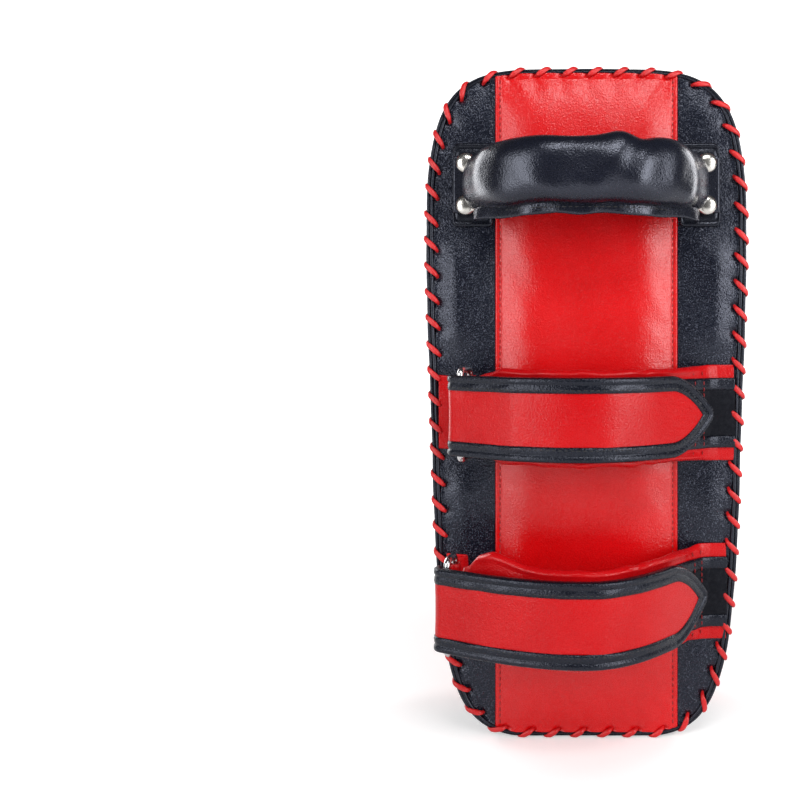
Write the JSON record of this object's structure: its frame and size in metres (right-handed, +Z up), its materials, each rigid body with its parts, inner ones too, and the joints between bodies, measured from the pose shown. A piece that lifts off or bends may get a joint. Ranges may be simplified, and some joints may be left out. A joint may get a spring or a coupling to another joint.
{
  "type": "thai pad",
  "caption": "Upright padded pad for kick and punch training, with a laced back edge, a riveted grab handle and forearm straps that run through rings and close with hook-and-loop flaps.",
  "frame": {"origin": "middle of the flat on the lower end that the pad stands on", "axes": "+Z up along the pad's length towards the handle, +Y out of the strike face, -Y out of the strapped back, +X to the right seen from the back"},
  "size_m": [0.1934, 0.1611, 0.3999],
  "materials": {
    "red": "fine-grained synthetic leather",
    "black": "pebbled synthetic leather",
    "cord": "waxed lacing cord",
    "tape": "hook-and-loop tape",
    "binding": "folded edge tape",
    "web": "woven webbing",
    "metal": "polished nickel plate",
    "burr": "plain plated washer",
    "foam": "dense closed-cell foam",
    "pale": "soft foam"
  },
  "bodies": {
    "pad": {"back_foam": "foam", "back_panel_left": "black", "back_panel_right": "black", "edge_lacing": "cord", "forearm_cushion": "pale", "forearm_panel": "red", "handle_cover": "black", "handle_foam": "pale", "handle_tab_left": "black", "handle_tab_right": "black", "handle_web": "web", "handle_welt": "black", "lower_anchor_tab": "red", "lower_loop_tape": "tape", "lower_strap": "red", "lower_strap_foam": "pale", "rim_roll_back": "black", "rim_roll_side": "black", "rivet_burr_left_bottom": "burr", "rivet_burr_left_top": "burr", "rivet_burr_right_bottom": "burr", "rivet_burr_right_top": "burr", "rivet_left_bottom": "metal", "rivet_left_top": "metal", "rivet_right_bottom": "metal", "rivet_right_top": "metal", "shock_foam": "pale", "side_gusset": "black", "strike_cover": "red", "strike_foam": "foam", "upper_anchor_tab": "red", "upper_loop_tape": "tape", "upper_strap": "red", "upper_strap_foam": "pale"},
    "upper_ring": {"upper_ring": "metal"},
    "upper_flap": {"upper_flap": "red", "upper_flap_binding": "binding", "upper_hook_tape": "tape"},
    "lower_ring": {"lower_ring": "metal"},
    "lower_flap": {"lower_flap": "red", "lower_flap_binding": "binding", "lower_hook_tape": "tape"}
  },
  "joints": [
    {"name": "upper_ring_swivel", "type": "hinge", "parent": "pad", "child": "upper_ring", "pos_m": [-0.0691, -0.0497, 0.194], "axis": [0, 0, -1], "range_deg": [0, 20]},
    {"name": "upper_flap_peel", "type": "hinge", "parent": "upper_ring", "child": "upper_flap", "pos_m": [-0.07296, -0.06316, 0.194], "axis": [0, 0, -1], "range_deg": [0, 130]},
    {"name": "lower_ring_swivel", "type": "hinge", "parent": "pad", "child": "lower_ring", "pos_m": [-0.07599, -0.0655, 0.0875], "axis": [0, 0, -1], "range_deg": [0, 20]},
    {"name": "lower_flap_peel", "type": "hinge", "parent": "lower_ring", "child": "lower_flap", "pos_m": [-0.07794, -0.07936, 0.0875], "axis": [0, 0, -1], "range_deg": [0, 130]}
  ]
}
